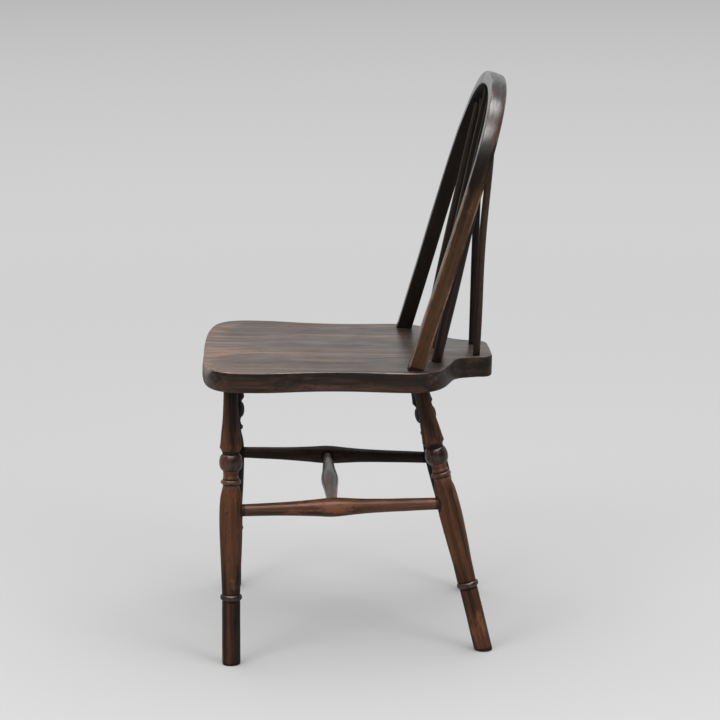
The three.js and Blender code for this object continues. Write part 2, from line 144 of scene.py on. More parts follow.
def dirt_and_contact_shade_at(place):
    """From 0 on open wood to 1 in the corner of a joint or at the floor: dirt, and painted contact shade."""
    # Within a few millimetres of the floor the foot is painted dark: a painted contact shadow, with some floor dirt.
    most = smoothstep(0.0045, 0.0015, place.z)
    for point, direction, radius, reach in joints:
        offset = place - point
        if offset.length > radius + 3 * reach:
            continue
        height = offset.dot(direction)
        aside = (offset - direction * height).length
        near = smoothstep(reach, reach * 0.3, abs(height))
        most = max(most, near * smoothstep(radius + 0.0045, radius + 0.0005, aside))
    return most


def smoothstep(low, high, value):
    """A soft step from 0 at low to 1 at high; low may be the larger one."""
    t = min(max((value - low) / (high - low), 0.0), 1.0)
    return t * t * (3 - 2 * t)


# %% Turn a bmesh into a piece of the chair
SHARP_ANGLE = radians(48)


def make_piece(bm, name, node, slot, grain_of, wear_and_shade_of, wax_of):
    bmesh.ops.recalc_face_normals(bm, faces=bm.faces[:])
    bm.normal_update()
    grain = bm.verts.layers.float_vector.new("grain")
    bend = bm.verts.layers.float.new("bend")
    wear_and_shade = bm.verts.layers.float.new("wear_and_shade")
    wax = bm.verts.layers.float.new("wax")
    for vert in bm.verts:
        vert[grain] = grain_of(vert)
        # Joints and the floor push the bend down, for dirt and painted contact shade.
        vert[bend] = bend_at(vert) - 2 * dirt_and_contact_shade_at(vert.co)
        vert[wear_and_shade] = wear_and_shade_of(vert)
        vert[wax] = wax_of(vert)
    mesh = bpy.data.meshes.new(name)
    bm.to_mesh(mesh)
    bm.free()
    mesh.shade_smooth()
    mesh.set_sharp_from_angle(angle=SHARP_ANGLE)
    piece = bpy.data.objects.new(name, mesh)
    bpy.context.scene.collection.objects.link(piece)
    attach(piece, "root")
    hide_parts(node)
    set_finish(piece, slot)
    print(name, "faces:", len(mesh.polygons))
    return piece


# %% [markdown]
# Legs, stretchers and sticks are turned on a lathe: the wood spins while a tool follows the
# profile. In Blender the same thing is a spin: half of the outline is drawn as a chain of
# edges beside the axis, and bmesh.ops.spin carries it round. Smooth stretches of the outline
# are Bezier curves through a few measured radii, and a bead is one arch of a sine.

# %% Draw and spin a turned profile
def fair(points, steps):
    """A smooth run through points that are a radius and a height."""
    last = len(points) - 1
    run = []
    for i in range(last):
        before, start, end, after = (
            Vector((*points[min(max(k, 0), last)], 0)) for k in (i - 1, i, i + 1, i + 2)
        )
        pull_out = start + (end - before) / 6
        pull_in = end - (after - start) / 6
        run += interpolate_bezier(start, pull_out, pull_in, end, steps + 1)[:-1]
    return [(p.x, p.y) for p in run] + [points[-1]]


def bead(height, half_height, core_radius, peak_radius, steps=12):
    """One rounded bead, from its lower edge to its upper one."""
    turns = [pi * i / steps for i in range(steps + 1)]
    return [
        (core_radius + (peak_radius - core_radius) * sin(t), height - half_height * cos(t))
        for t in turns
    ]


def spin_profile(profile, sides):
    bm = bmesh.new()
    chain = [bm.verts.new((radius, 0, height)) for radius, height in profile]
    edges = [bm.edges.new(pair) for pair in zip(chain, chain[1:])]
    bmesh.ops.spin(
        bm, geom=chain + edges, cent=(0, 0, 0), axis=(0, 0, 1), dvec=(0, 0, 0),
        angle=2 * pi, steps=sides, use_merge=True, use_normal_flip=False, use_duplicate=False,
    )
    bmesh.ops.remove_doubles(bm, verts=bm.verts[:], dist=1e-6)
    return bm


def along(foot, top):
    """The matrix that stands a turned piece on foot, with its axis through top."""
    turn = (top - foot).to_track_quat("Z", "Y").to_matrix().to_4x4()
    return Matrix.Translation(foot) @ turn


# %% [markdown]
# The seat is one plank, 28 mm thick, that falls a little towards the back. Its outline is
# wide at the front, has a waist, widens again at the hoop, and ends in a tail that takes the
# two brace sticks. Everything that stands on the seat is placed from its top face, so a
# function gives a point on it from a distance across and a distance back from the front edge.

# %% Set out the seat
SEAT_HEIGHT = 0.430
SEAT_SLOPE = 0.028
SEAT_THICKNESS = 0.0276
seat_low, seat_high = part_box("seat")
seat_turn = atan(SEAT_SLOPE)
seat_front = seat_low.y + SEAT_THICKNESS * sin(seat_turn)
seat_place = Matrix.Translation((0, seat_front, SEAT_HEIGHT)) @ Matrix.Rotation(-seat_turn, 4, "X")


def on_seat(across, back, depth=0.0):
    return seat_place @ Vector((across, back, -depth))


print("front edge of the seat at y =", round(seat_front, 4))

# %% [markdown]
# The hoop stands in a plane that leans back, with its feet on the seat. The legs splay, and
# the right front one leans a little further forward than its twin. Stretchers run between
# points on the legs' axes, and the sticks fan out to points on the hoop. Setting out all these
# lines first tells where every joint is.

# %% Set out the hoop's plane
HOOP_FOOT_HALF = 0.1643
HOOP_FOOT_BACK = 0.3073
HOOP_LEAN = 0.309
HOOP_HEIGHT = 0.418
HOOP_PULL_HALF, HOOP_PULL_HEIGHT = 0.1558, 0.174
HOOP_SHOULDER = 0.2807
HOOP_WIDTH = 0.021
hoop_place = (
    Matrix.Translation(on_seat(0, HOOP_FOOT_BACK)) @ Matrix.Rotation(pi / 2 - HOOP_LEAN, 4, "X")
)


def hoop_half(side):
    """The bend from one foot to the top, in the hoop's own plane."""
    return [
        Vector((side * HOOP_FOOT_HALF, 0, 0)),
        Vector((side * HOOP_PULL_HALF, HOOP_PULL_HEIGHT, 0)),
        Vector((side * HOOP_SHOULDER, HOOP_HEIGHT, 0)),
        Vector((0, HOOP_HEIGHT, 0)),
    ]


def hoop_top_at(x):
    """The middle of the hoop, above its widest place, at a distance from the centre."""
    bend = interpolate_bezier(*hoop_half(1 if x >= 0 else -1), 801)[400:]
    point = min(bend, key=lambda p: abs(p.x - x))
    return hoop_place @ point


print("top of the hoop's middle line:", [round(v, 4) for v in hoop_top_at(0)])

# %% Set out the legs and stretchers
LEG_TOP_RADIUS = 10.8 * MM
FRONT_FOOT, FRONT_TOP = (0.199, 0.0365), (0.1654, 0.0435)
REAR_FOOT, REAR_TOP = (0.1553, 0.4055), (0.1291, 0.3155)
LEAN_RIGHT_FRONT = 0.004


def leg_axis(end, side):
    foot, top = (FRONT_FOOT, FRONT_TOP) if end == "front" else (REAR_FOOT, REAR_TOP)
    lean = LEAN_RIGHT_FRONT if (end, side) == ("front", -1) else 0.0
    ground = Vector((side * foot[0], seat_front + foot[1] - lean, 0))
    return ground, on_seat(side * top[0], top[1], SEAT_THICKNESS)


def on_leg(end, side, height):
    foot, top = leg_axis(end, side)
    return foot.lerp(top, height / top.z)


STRETCHER_FRONT, STRETCHER_REAR = 0.2235, 0.2187
STRETCHER_SHARE = 0.465


def swell_point(side):
    front, rear = on_leg("front", side, STRETCHER_FRONT), on_leg("rear", side, STRETCHER_REAR)
    return front.lerp(rear, STRETCHER_SHARE)


# %% Set out the sticks and note every joint
STICK_COUNT = 5
STICK_FOOT_HALF, STICK_FOOT_BACK, STICK_FOOT_BOW = 0.103, 0.3405, 0.008
STICK_TOP_HALF = 0.134
STICK_RADII = (7.2 * MM, 8.2 * MM, 5.2 * MM)
BRACE_BACK = 0.4035
BRACE_LEFT = (0.048, 0.154, 0.0035)
BRACE_RIGHT = (-0.035, -0.121, 0.0016)
BRACE_RADII = (5.2 * MM, 5.5 * MM, 4.8 * MM)


def stick_line(index):
    across = 1 - 2 * index / (STICK_COUNT - 1)
    back = STICK_FOOT_BACK + STICK_FOOT_BOW * (1 - across ** 2)
    return on_seat(across * STICK_FOOT_HALF, back), hoop_top_at(across * STICK_TOP_HALF)


def note_line(foot, top, foot_radius, top_radius, top_gap):
    """Notes both ends of a stick, the upper one where it enters the face above."""
    direction = (top - foot).normalized()
    note_joint(foot, direction, foot_radius)
    note_joint(top - direction * top_gap, direction, top_radius)


for index in range(STICK_COUNT):
    note_line(*stick_line(index), STICK_RADII[0], STICK_RADII[2], HOOP_WIDTH / 2)
for foot_x, top_x in ((BRACE_LEFT[0], BRACE_LEFT[1]), (BRACE_RIGHT[0], BRACE_RIGHT[1])):
    note_line(on_seat(foot_x, BRACE_BACK), hoop_top_at(top_x), BRACE_RADII[0], BRACE_RADII[2], HOOP_WIDTH / 2)
for side in (1, -1):
    hoop_foot, hoop_pull = (hoop_place @ p for p in hoop_half(side)[:2])
    note_joint(hoop_foot, hoop_pull - hoop_foot, 0.0125)
    for end in ("front", "rear"):
        ground, top = leg_axis(end, side)
        note_joint(top, top - ground, LEG_TOP_RADIUS, 0.009)
    front, rear = on_leg("front", side, STRETCHER_FRONT), on_leg("rear", side, STRETCHER_REAR)
    run = (rear - front).normalized()
    note_joint(front + run * 0.0155, run, 0.0092)
    note_joint(rear - run * 0.0155, run, 0.0092)
    inward = (swell_point(-side) - swell_point(side)).normalized()
    note_joint(swell_point(side) + inward * 0.0135, inward, 0.0070)
print("joints:", len(joints))

# %% Draw the plan of the seat
FRONT_HALF, FRONT_WING = 0.207, 0.067
WAIST_HALF, WAIST_BACK = 0.1885, 0.2125
REAR_HALF, REAR_WING = 0.194, 0.2945
SHOULDER_BACK = 0.3665
NECK_HALF, NECK_BACK = 0.074, 0.3865
TAIL_HALF, TAIL_BACK = 0.064, 0.428
TAIL_CORNER = 0.020
TAIL_BOW = 0.0006
NECK_HOLLOW = 0.003
BEND_STEPS = 26


def cubic(start, first_pull, second_pull, end, steps=BEND_STEPS):
    points = [Vector((*p, 0)) for p in (start, first_pull, second_pull, end)]
    return interpolate_bezier(*points, steps + 1)[:-1]


def quadratic(start, pull, end, steps):
    a, p, b = (Vector((*q, 0)) for q in (start, pull, end))
    return interpolate_bezier(a, a.lerp(p, 2 / 3), b.lerp(p, 2 / 3), b, steps + 1)[:-1]


def half_plan(front_share, corner_rise):
    """One side of the outline, from the middle of the front edge to the middle of the tail."""
    side = cubic(
        (0, 0), (FRONT_HALF * front_share, 0), (FRONT_HALF, corner_rise), (FRONT_HALF, FRONT_WING), 52,
    )
    side += cubic(
        (FRONT_HALF, FRONT_WING), (FRONT_HALF, FRONT_WING + 0.055),
        (WAIST_HALF, WAIST_BACK - 0.075), (WAIST_HALF, WAIST_BACK),
    )
    side += cubic(
        (WAIST_HALF, WAIST_BACK), (WAIST_HALF, WAIST_BACK + 0.034),
        (REAR_HALF, REAR_WING - 0.034), (REAR_HALF, REAR_WING),
    )
    neck_start = (NECK_HALF + 0.026, SHOULDER_BACK)
    side += cubic(
        (REAR_HALF, REAR_WING), (REAR_HALF, REAR_WING + 0.052),
        (REAR_HALF - 0.045, SHOULDER_BACK - 0.014), neck_start, 38,
    )
    neck_end = (NECK_HALF - NECK_HOLLOW, NECK_BACK + NECK_HOLLOW)
    side += quadratic(neck_start, (NECK_HALF + NECK_HOLLOW, SHOULDER_BACK + 2 * NECK_HOLLOW), neck_end, 10)
    corner_start = (TAIL_HALF, TAIL_BACK - TAIL_CORNER)
    side += quadratic(neck_end, (TAIL_HALF + NECK_HOLLOW, NECK_BACK + 4 * NECK_HOLLOW), corner_start, 6)
    corner_end = (TAIL_HALF - TAIL_CORNER, TAIL_BACK - TAIL_BOW)
    side += quadratic(corner_start, (TAIL_HALF, TAIL_BACK - 2 * TAIL_BOW), corner_end, 12)
    side += cubic(
        corner_end, (0.028, TAIL_BACK - 0.3 * TAIL_BOW), (0.014, TAIL_BACK), (0, TAIL_BACK), 12,
    )
    return side


def seat_plan():
    """The outline as points, anticlockwise; the left front corner is a little tighter."""
    left = half_plan(0.77, 0.0)
    right = half_plan(0.65, 0.003)
    other = [Vector((-p.x, p.y, 0)) for p in reversed(right[1:])]
    return left + [Vector((0, TAIL_BACK, 0))] + other


print("points in the plan of the seat:", len(seat_plan()))

# %% [markdown]
# The top of the seat is hollowed for the sitter. The hollow is open at the front, runs a
# finger's width inside the long sides, and stops in front of the hoop, where it leaves a soft
# step. Legs have worn the front edge rounder than the others. Both are formulas of the plan,
# so the mesh only has to be fine enough to carry them. The shape starts as one face in the
# outline: it is extruded down, both rims are bevelled, and the top face is inset again and
# again towards the middle.

# %% Shape the hollow of the seat
HOLLOW_DEPTH = 0.0075
HOLLOW_SIDE = 0.180
HOLLOW_BACK = 0.298
HOLLOW_FRONT = 0.010
HOLLOW_MIDDLE = 0.150
HOLLOW_BLEND = 0.34


def hollow_at(x, y):
    """How far the top face lies below its rim."""
    side = abs(x) / (HOLLOW_SIDE + 0.02 * smoothstep(0.12, 0.0, y))
    if y > HOLLOW_MIDDLE:
        ends = (y - HOLLOW_MIDDLE) / (HOLLOW_BACK - HOLLOW_MIDDLE)
    else:
        ends = (HOLLOW_MIDDLE - y) / (HOLLOW_MIDDLE - HOLLOW_FRONT)
    reach = (side ** 2.6 + ends ** 2.6) ** (1 / 2.6)
    inside = min(max((1 - reach) / HOLLOW_BLEND, 0.0), 1.0)
    return HOLLOW_DEPTH * (1 - (1 - inside) ** 2)


# %% Build the seat
SEAT_TOP_EDGE = 0.0022
SEAT_BOTTOM_EDGE = 0.003
SEAT_LIP = 0.0014
SEAT_HEART = Vector((0, 0.184, 0))
RIM_SHARES = (0.995, 0.99, 0.984, 0.977, 0.969, 0.96, 0.949, 0.936)
INNER_RINGS = 46


def build_seat():
    bm = bmesh.new()
    top = bm.faces.new([bm.verts.new(p) for p in seat_plan()])
    grown = bmesh.ops.extrude_face_region(bm, geom=[top])
    lower = [v for v in grown["geom"] if isinstance(v, bmesh.types.BMVert)]
    bmesh.ops.translate(bm, verts=lower, vec=(0, 0, -SEAT_THICKNESS - SEAT_LIP))
    low_rim = [e for e in bm.edges if all(v.co.z < -0.02 for v in e.verts)]
    top_rim = [e for e in bm.edges if all(v.co.z > -0.001 for v in e.verts)]
    for edges, radius in ((low_rim, SEAT_BOTTOM_EDGE), (top_rim, SEAT_TOP_EDGE)):
        bmesh.ops.bevel(
            bm, geom=edges, offset=radius, offset_type="OFFSET", segments=5, profile=0.5,
            affect="EDGES", material=-1,
        )
    walls = [e for e in bm.edges if abs(e.verts[0].co.z - e.verts[1].co.z) > 0.015]
    bmesh.ops.subdivide_edges(bm, edges=walls, cuts=7, use_grid_fill=True)
    bm.normal_update()
    top_face = max(bm.faces, key=lambda f: f.calc_area() * max(f.normal.z, 0))
    last = 1.0
    inner = [RIM_SHARES[-1] * (1 - (k + 1) / (INNER_RINGS + 1)) for k in range(INNER_RINGS)]
    for share in RIM_SHARES + tuple(inner):
        bmesh.ops.inset_region(bm, faces=[top_face], thickness=0.0, use_even_offset=True)
        step = share / last
        bmesh.ops.scale(
            bm, verts=top_face.verts[:], vec=(step, step, 1), space=Matrix.Translation(-SEAT_HEART),
        )
        last = share
    bmesh.ops.poke(bm, faces=[top_face])
    return bm


# %% Wear the seat
FRONT_ROUNDING = 0.0155
TAIL_DEEPER = 0.0019
WALL_LOW = SEAT_BOTTOM_EDGE - SEAT_THICKNESS - SEAT_LIP


def rim_distances(bm):
    """How far inside the outline each point lies, and how far back the nearest rim is."""
    outline = seat_plan()
    tree = KDTree(len(outline))
    for index, point in enumerate(outline):
        tree.insert(point, index)
    tree.balance()
    found = {vert: tree.find(Vector((vert.co.x, vert.co.y, 0))) for vert in bm.verts}
    return {vert: (distance, rim.y) for vert, (rim, index, distance) in found.items()}


def rounded_drop(distance, radius):
    """How far a quarter round of this radius lies below the flat, at a distance from its edge."""
    inside = max(radius - distance, 0.0)
    return radius - (radius ** 2 - inside ** 2) ** 0.5


def wear_seat(bm):
    """Hollows the top, rounds its front, and leaves it as uneven as hand work and use have."""
    distances = rim_distances(bm)
    for vert in bm.verts:
        x, y, z = vert.co
        if z > -SEAT_TOP_EDGE * 1.01:
            vert.co.z -= hollow_at(x, y)
            vert.co.z += wobble(vert.co, 0.09, 0.0004)
        distance, rim_back = distances[vert]
        radius = FRONT_ROUNDING * smoothstep(0.024, 0.004, rim_back) * (0.5 + 0.5 * smoothstep(-0.1, 0.1, x))
        if radius > SEAT_TOP_EDGE:
            share = min(max((z - WALL_LOW) / (-SEAT_TOP_EDGE - WALL_LOW), 0.0), 1.0)
            vert.co.z -= share * max(rounded_drop(distance, radius) - SEAT_TOP_EDGE * 0.6, 0.0)
        depth = min(max(z / (-SEAT_THICKNESS - SEAT_LIP), 0.0), 1.0)
        vert.co.z -= depth * TAIL_DEEPER * smoothstep(0.335, 0.385, y)
        rim = Vector((x, y - SEAT_HEART.y, 0)).normalized()
        slack = 0.0005 * smoothstep(TAIL_BACK, TAIL_BACK - 0.03, y)
        vert.co -= rim * (slack + 0.0001 + wobble(Vector((x, y, z * 0.3)), 0.055, slack))
        vert.co.z += SEAT_LIP


seat_bm = build_seat()
wear_seat(seat_bm)
print("seat points:", len(seat_bm.verts))

# %% Place the seat
def seat_wear_and_light(vert):
    """The sitter's clothes and legs thin the stain, most at the front and its left corner."""
    place = seat_place.inverted() @ vert.co
    front = smoothstep(0.035, 0.0, place.y)
    corner = smoothstep(0.175, 0.200, place.x) * smoothstep(0.17, 0.05, place.y)
    # As far back as the hoop the top is a little lighter: painted light, offsetting the shade towards the hoop.
    middle = smoothstep(0.35, 0.28, place.y)
    return 0.02 + (0.15 + 0.05 * middle + 0.02 * front + 0.20 * corner) * on_top(vert)


def seat_wax(vert):
    place = seat_place.inverted() @ vert.co
    front = 0.07 * smoothstep(0.14, 0.04, place.y)
    rear = 0.12 * smoothstep(0.17, 0.27, place.y) - 0.22 * smoothstep(0.33, 0.37, place.y)
    far = 0.42 * smoothstep(-0.14, -0.19, place.x) * smoothstep(0.34, 0.28, place.y)
    return 0.06 + (0.84 - front + rear - far) * on_top(vert)


def on_top(vert):
    """1 where the surface looks up, 0 on the walls and the underside; more tilted in front."""
    facing = vert.normal.dot(seat_place.to_3x3() @ Vector((0, 0, 1)))
    front = 0.5 * smoothstep(0.026, 0.010, (seat_place.inverted() @ vert.co).y)
    return smoothstep(0.4 - front, 0.85 - front, facing)


def seat_grain(vert):
    place = seat_place.inverted() @ vert.co
    return Vector((place.x, place.z, place.y))


bmesh.ops.transform(seat_bm, matrix=seat_place, verts=seat_bm.verts[:])
seat_piece = make_piece(seat_bm, "plank_seat", "seat", "seat_wood", seat_grain, seat_wear_and_light, seat_wax)

# %% [markdown]
# The hoop is one straight stick, steamed and bent in a form, with a rectangular section whose
# front and back stay flat and whose outer face is slightly crowned. A sweep makes it: the
# section is drawn once, and its edges are extruded from station to station along the bend.
# Each foot is cut down to a round tenon that passes through the seat.

# %% Draw the hoop's line and section
HOOP_DEPTH = 0.0225
HOOP_EDGE = 0.0017
HOOP_CROWN = 0.0009
HOOP_TENON = 0.0085
HOOP_STEPS = 150
def hoop_line():
    right = interpolate_bezier(*hoop_half(-1), HOOP_STEPS + 1)
    left = interpolate_bezier(*reversed(hoop_half(1)), HOOP_STEPS + 1)
    return right + left[1:]


def hoop_section():
    """Across (outwards) and through (to the front), with crowned outer and inner faces."""
    half_x, half_z = HOOP_WIDTH / 2, HOOP_DEPTH / 2
    points = []
    for corner in range(4):
        turn = corner * pi / 2
        cx = (half_x - HOOP_EDGE) * (1 if corner in (0, 3) else -1)
        cz = (half_z - HOOP_EDGE) * (1 if corner in (0, 1) else -1)
        points += [
            (cx + HOOP_EDGE * cos(turn + pi / 2 * k / 5), cz + HOOP_EDGE * sin(turn + pi / 2 * k / 5))
            for k in range(6)
        ]
        if corner in (1, 3):
            points += [(cx + HOOP_EDGE * cos(turn + pi / 2), z) for z in steps_between(cz, -cz, 6)]
        else:
            points += [(x, cz + HOOP_EDGE * sin(turn + pi / 2)) for x in steps_between(cx, -cx, 4)]
    return [crowned(x, z) for x, z in points]


def steps_between(start, end, count):
    return [start + (end - start) * i / (count + 1) for i in range(1, count + 1)]


def crowned(x, z):
    fall = HOOP_CROWN * (2 * z / HOOP_DEPTH) ** 2
    return (x - fall if x > 0 else x + fall, z)


print("hoop section points:", len(hoop_section()))

# %% Sweep the hoop
TENON_NECK = 0.006
TENON_PROUD = 0.0003


def station(centre, outward):
    """The matrix that sets a section across the bend, facing along it."""
    forward = Vector((0, 0, 1))
    travel = outward.cross(forward)
    turn = Matrix((outward, forward, travel)).transposed().to_4x4()
    return Matrix.Translation(centre) @ turn


def sweep(bm, ring, layer, places, lengths):
    """Extrudes the ring of edges from its first place through the others."""
    for before, after, length in zip(places, places[1:], lengths[1:]):
        grown = bmesh.ops.extrude_edge_only(bm, edges=ring)
        ring = [e for e in grown["geom"] if isinstance(e, bmesh.types.BMEdge) and not e.link_faces[1:]]
        fresh = [v for v in grown["geom"] if isinstance(v, bmesh.types.BMVert)]
        bmesh.ops.transform(bm, matrix=after @ before.inverted(), verts=fresh)
        for vert in fresh:
            vert[layer] = length
    return ring


def build_hoop():
    line = hoop_line()
    outwards = []
    for i in range(len(line)):
        travel = (line[min(i + 1, len(line) - 1)] - line[max(i - 1, 0)]).normalized()
        outwards.append(Vector((-travel.y, travel.x, 0)))
    foot_down = (line[0] - line[1]).normalized() * TENON_NECK
    end_down = (line[-1] - line[-2]).normalized() * TENON_NECK
    line = [line[0] + foot_down] + line + [line[-1] + end_down]
    outwards = [outwards[0]] + outwards + [outwards[-1]]
    lengths = [0.0]
    for a, b in zip(line, line[1:]):
        lengths.append(lengths[-1] + (b - a).length)
    places = [station(c, o) for c, o in zip(line, outwards)]
    bm = bmesh.new()
    layer = bm.verts.layers.float.new("length")
    first = [bm.verts.new(places[0] @ Vector((x, z, 0))) for x, z in hoop_section()]
    cap = bm.faces.new(first)
    ring = sweep(bm, cap.edges[:], layer, places, lengths)
    bmesh.ops.contextual_create(bm, geom=ring)
    return bm, layer


hoop_bm, hoop_length = build_hoop()
print("hoop points:", len(hoop_bm.verts))

# %% [markdown]
# A through tenon shows under the seat as a round of end grain, split by a wedge. Each one is
# spun as a short peg inside the hoop's own mesh, and the wedge is a slip of wood of its own
# that stands a hair prouder.

# %% Add the tenons, place the hoop and its wedges
TENON_LENGTH = SEAT_THICKNESS / cos(HOOP_LEAN) + 0.004
WEDGE_THICK, WEDGE_DEEP, WEDGE_WIDE = 0.0032, 0.017, 0.0155


def tenon_place(side):
    foot, pull = hoop_half(side)[:2]
    down = (foot - pull).normalized()
    return along(hoop_place @ foot, hoop_place @ (foot + down))


def seat_bottom_cut(bm, proud):
    """Cuts what hangs below the seat, level with its underside."""
    point = on_seat(0, 0, SEAT_THICKNESS + proud)
    direction = (on_seat(0, 0) - point).normalized()
    cut = bmesh.ops.bisect_plane(
        bm, geom=bm.verts[:] + bm.edges[:] + bm.faces[:], dist=1e-7,
        plane_co=point, plane_no=direction, clear_inner=True,
    )
    rim = [e for e in cut["geom_cut"] if isinstance(e, bmesh.types.BMEdge)]
    bmesh.ops.contextual_create(bm, geom=rim)


def build_peg(side):
    peg = spin_profile([(0, 0), (HOOP_TENON, 0), (HOOP_TENON, 0.06), (0, 0.06)], 32)
    bmesh.ops.transform(peg, matrix=tenon_place(side), verts=peg.verts[:])
    seat_bottom_cut(peg, TENON_PROUD)
    mesh = bpy.data.meshes.new("peg")
    peg.to_mesh(mesh)
    peg.free()
    return mesh


def hoop_facing(vert):
    """How far a point faces out of the bend, from -1 inside to 1 outside."""
    place = hoop_place.inverted() @ vert.co
    normal = hoop_place.to_3x3().inverted() @ vert.normal
    centre = Vector((0, HOOP_HEIGHT * 0.5, 0))
    return normal.dot(Vector((place.x - centre.x, (place.y - centre.y) * 0.6, 0)).normalized())


def hoop_wear_and_shade(vert):
    """The arms are rubbed brown where one leans on them. The inner face and the far arm are painted darker, as shade,
    and a band below the polished top is painted dark in place of a dark reflection.
    """
    height = (hoop_place.inverted() @ vert.co).y / HOOP_HEIGHT
    # The inner face and the far arm are left out of the wear and painted darker, as shade.
    outside = smoothstep(-0.4, 0.3, hoop_facing(vert)) * smoothstep(-0.05, 0.08, vert.co.x)
    behind = smoothstep(0.2, 0.7, -(hoop_place.to_3x3().inverted() @ vert.normal).z)
    # A band below the polished top is painted dark, standing in for the reflection of the dark room.
    dark = 0.36 * smoothstep(0.62, 0.70, height) * smoothstep(0.84, 0.79, height)
    return outside * (0.62 - 0.10 * smoothstep(0.74, 0.80, height) - dark - 0.15 * behind) - 0.3


def hoop_wax(vert):
    """Hands polish the top of the hoop, down to a dull patch on either shoulder."""
    height = (hoop_place.inverted() @ vert.co).y / HOOP_HEIGHT
    outside = smoothstep(-0.6, -0.1, hoop_facing(vert))
    dull = 0.5 * smoothstep(0.035, 0.005, abs(height - 0.895))
    return 0.03 + outside * (0.03 + (0.80 - dull) * smoothstep(0.76, 0.83, height) + front_polish(vert))


def front_polish(vert):
    """The flat front face shines like the top."""
    normal = hoop_place.to_3x3().inverted() @ vert.normal
    return 0.5 * smoothstep(0.5, 0.9, normal.z)


def hoop_grain(vert):
    place = hoop_place.inverted() @ vert.co
    return Vector((place.x * 0.2, place.z, vert[hoop_length] + 2.0))


for vert in hoop_bm.verts:
    ripple = wobble(vert.co, 0.028, 0.00018) - 0.00018
    vert.co += Vector((vert.co.x, vert.co.y - HOOP_HEIGHT / 2, 0)).normalized() * ripple
    vert.co.z += 0.0005 + wobble(vert.co, 0.07, 0.0003)
bmesh.ops.transform(hoop_bm, matrix=hoop_place, verts=hoop_bm.verts[:])
for side in (1, -1):
    hoop_bm.from_mesh(build_peg(side))
hoop_piece = make_piece(hoop_bm, "bent_hoop", "hoop", "bent_wood", hoop_grain, hoop_wear_and_shade, hoop_wax)


def build_wedge(side):
    bm = bmesh.new()
    bmesh.ops.create_cube(bm, size=1.0)
    bmesh.ops.scale(bm, vec=(WEDGE_THICK, WEDGE_WIDE, WEDGE_DEEP + 0.02), verts=bm.verts[:])
    bmesh.ops.translate(bm, vec=(0, 0, SEAT_THICKNESS + 0.002), verts=bm.verts[:])
    place = tenon_place(side)
    bmesh.ops.transform(bm, matrix=place, verts=bm.verts[:])
    seat_bottom_cut(bm, 2 * TENON_PROUD)
    return bm, place


for side, word in ((1, "left"), (-1, "right")):
    wedge_bm, wedge_place = build_wedge(side)
    make_piece(
        wedge_bm, f"tenon_wedge_{word}", f"hoop_wedge_{word}", "wedge_wood",
        lambda vert, back=wedge_place.inverted(): back @ vert.co,
        lambda vert: 0.3, lambda vert: 0.1,
    )

# %% [markdown]
# The legs are the richest turning. From the floor up there is a plain foot with a chamfer, a
# collar, a long vase, a ring, a cove, a ball, and a shoulder that tapers into the seat. They
# splay, so the lathe's axis is tilted, and the foot is sawn level with the floor afterwards:
# bisect_plane cuts the spun shape, and a bevel takes off the rim.

# %% Draw the profile of a leg
FOOT_RADIUS = 13.5 * MM
FOOT_CHAMFER = 2.4 * MM
COLLAR_HEIGHT, COLLAR_HALF, COLLAR_RADIUS = 98.2 * MM, 4.2 * MM, 16.3 * MM
VASE_HEIGHT, VASE_RADIUS = 208 * MM, 17.1 * MM
RING_HEIGHT, RING_HALF, RING_RADIUS = 266.3 * MM, 3.2 * MM, 15.0 * MM
GROOVE_RADIUS = 11.9 * MM
COVE_HEIGHT, COVE_RADIUS = 277 * MM, 10.8 * MM
BALL_HEIGHT, BALL_HALF, BALL_RADIUS = 295 * MM, 11.5 * MM, 17.0 * MM
NECK_RADIUS = 12.2 * MM
SHOULDER_HEIGHT, SHOULDER_RADIUS = 316.5 * MM, 16.3 * MM


def leg_profile(length):
    foot = [(0, -FOOT_RADIUS), (FOOT_RADIUS, -FOOT_RADIUS)]
    foot += [(FOOT_RADIUS, 3 * MM * i) for i in range(1, 31)]
    collar = bead(COLLAR_HEIGHT, COLLAR_HALF, FOOT_RADIUS - 0.3 * MM, COLLAR_RADIUS)
    vase = fair([
        (FOOT_RADIUS, COLLAR_HEIGHT + 1.5 * COLLAR_HALF),
        (14.7 * MM, 138 * MM),
        (16.0 * MM, 167 * MM),
        (VASE_RADIUS, VASE_HEIGHT),
        (16.0 * MM, 240 * MM),
        (13.4 * MM, 254.5 * MM),
        (GROOVE_RADIUS, RING_HEIGHT - 1.5 * RING_HALF),
    ], 9)
    ring = bead(RING_HEIGHT, RING_HALF, GROOVE_RADIUS, RING_RADIUS)
    cove = fair([
        (GROOVE_RADIUS, RING_HEIGHT + 1.9 * RING_HALF),
        (COVE_RADIUS, COVE_HEIGHT),
        (12.0 * MM, COVE_HEIGHT + 5.4 * MM),
    ], 5)
    ball = bead(BALL_HEIGHT, BALL_HALF, NECK_RADIUS, BALL_RADIUS, 24)
    shoulder = fair([
        (13.2 * MM, SHOULDER_HEIGHT - 5.5 * MM),
        (15.4 * MM, SHOULDER_HEIGHT - 2.2 * MM),
        (SHOULDER_RADIUS, SHOULDER_HEIGHT),
        (15.4 * MM, SHOULDER_HEIGHT + 6 * MM),
        (13.9 * MM, SHOULDER_HEIGHT + 22 * MM),
        (12.1 * MM, 356 * MM),
        (11.3 * MM, 372 * MM),
        (LEG_TOP_RADIUS, 392 * MM),
    ], 6)
    end = [(LEG_TOP_RADIUS, length + 8 * MM), (0, length + 8 * MM)]
    return foot + collar + vase + ring + cove + ball + shoulder + end


print("points in a leg's profile:", len(leg_profile(0.405)))

